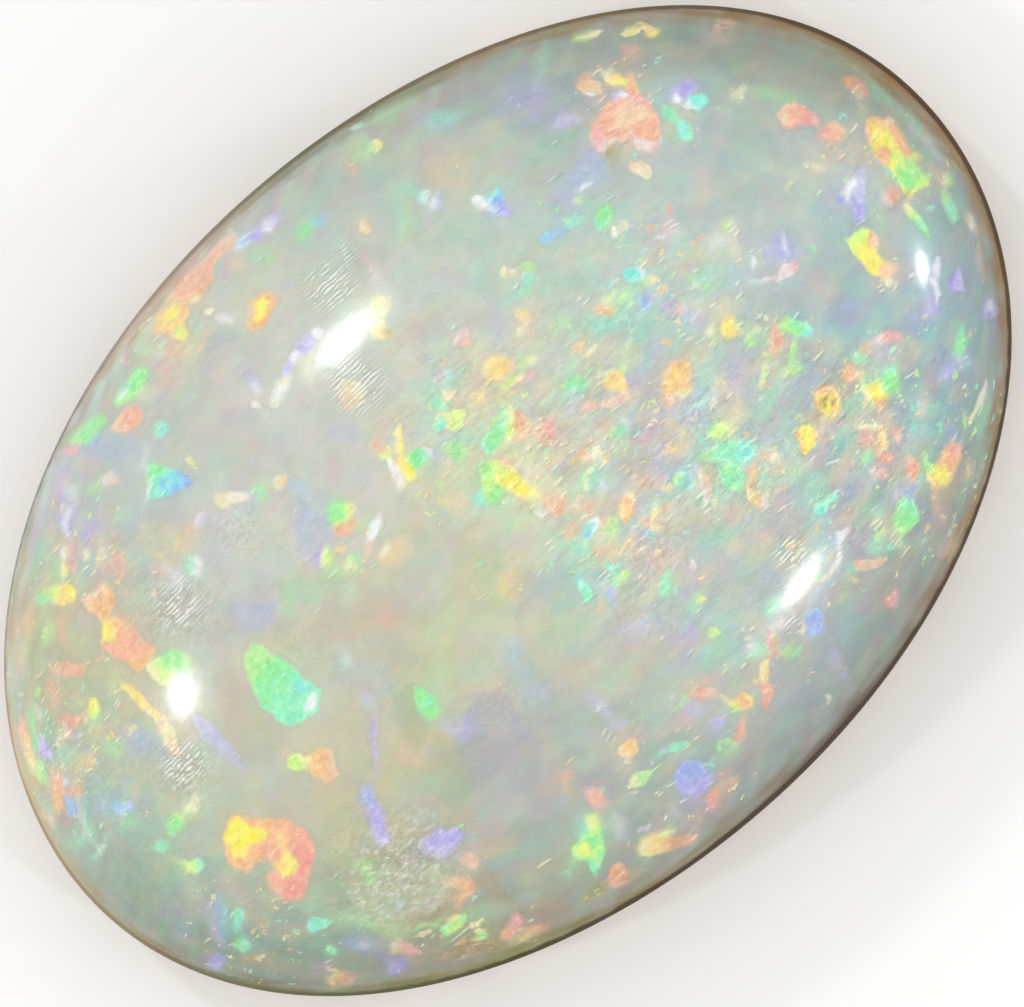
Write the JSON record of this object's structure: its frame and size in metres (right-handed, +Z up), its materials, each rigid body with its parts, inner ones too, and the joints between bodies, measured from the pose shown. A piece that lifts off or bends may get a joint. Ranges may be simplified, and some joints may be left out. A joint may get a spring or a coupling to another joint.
{
  "type": "opal cabochon",
  "caption": "Polished oval white opal cabochon with a high dome, a thin rounded girdle and a flat back it rests on.",
  "frame": {"origin": "middle of the flat back, on the surface the stone lies on", "axes": "+X along the long axis of the oval, +Y along the short axis, +Z up through the top of the dome"},
  "size_m": [0.018, 0.0124, 0.0053],
  "materials": {
    "opal": "polished milky white opal with flakes of orange, green, blue and violet play of colour, and a tan to brown rim and back"
  },
  "bodies": {
    "root": {"opal_cabochon": "opal"}
  },
  "joints": []
}
